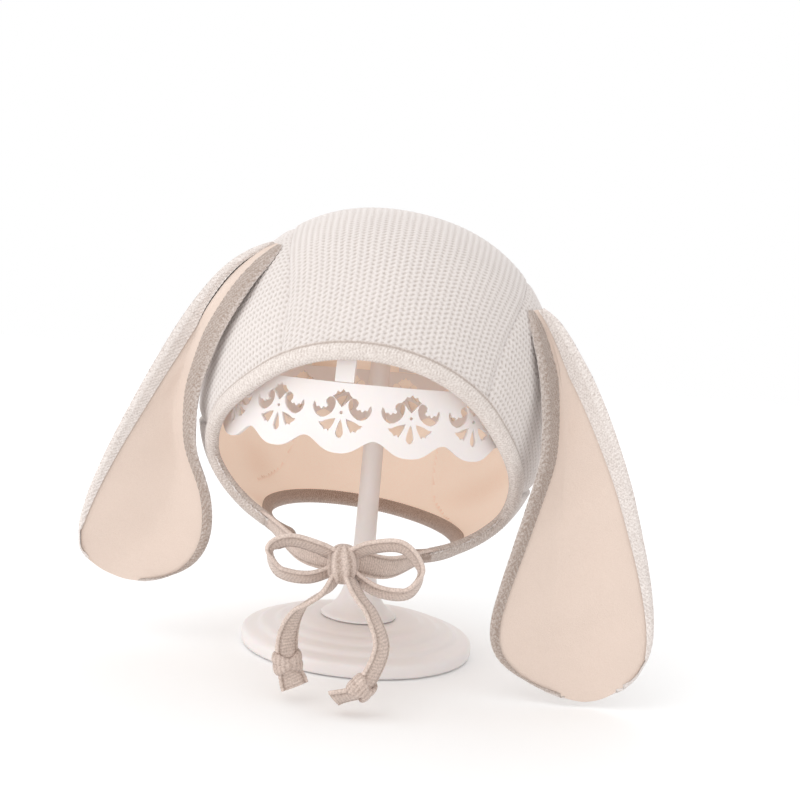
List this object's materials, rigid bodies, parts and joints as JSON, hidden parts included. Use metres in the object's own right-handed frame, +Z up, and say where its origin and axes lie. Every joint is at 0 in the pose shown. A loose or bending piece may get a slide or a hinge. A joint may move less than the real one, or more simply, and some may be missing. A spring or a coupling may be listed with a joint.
{
  "type": "baby bonnet with lop ears on a display stand",
  "caption": "Knitted baby bonnet with long lop ears and a tied chin bow, shown on a small white pierced display stand.",
  "frame": {"origin": "centre of the flat underside of the stand's base", "axes": "+Z up, the face opening looks along -Y, +X to the right of somebody who looks into it"},
  "size_m": [0.2383, 0.1758, 0.194],
  "materials": {
    "waffle_cloth": "cream cotton waffle knit",
    "lining_cloth": "smooth cream cotton jersey",
    "ear_cloth": "smooth off-white cotton jersey",
    "rib_cloth": "taupe fine rib knit, folded and stitched",
    "white_plastic": "white moulded plastic, soft gloss"
  },
  "bodies": {
    "root": {"stand_base": "white_plastic", "stand_post": "white_plastic", "stand_ring": "white_plastic", "stand_hub": "white_plastic", "stand_rib_1": "white_plastic", "stand_rib_2": "white_plastic", "stand_rib_3": "white_plastic", "stand_rib_4": "white_plastic", "stand_rib_5": "white_plastic", "stand_rib_6": "white_plastic", "stand_rib_7": "white_plastic", "stand_rib_8": "white_plastic", "centre_panel": "waffle_cloth", "side_panel_left": "waffle_cloth", "side_panel_right": "waffle_cloth", "lining": "lining_cloth", "front_band": "rib_cloth", "neck_band": "rib_cloth", "ear_left_outer": "waffle_cloth", "ear_left_inner": "ear_cloth", "ear_right_outer": "waffle_cloth", "ear_right_inner": "ear_cloth", "chin_tie_left": "rib_cloth", "chin_tie_right": "rib_cloth", "bow_knot": "rib_cloth", "bow_loop_left": "rib_cloth", "bow_loop_right": "rib_cloth", "tail_left": "rib_cloth", "tail_right": "rib_cloth"}
  },
  "joints": []
}
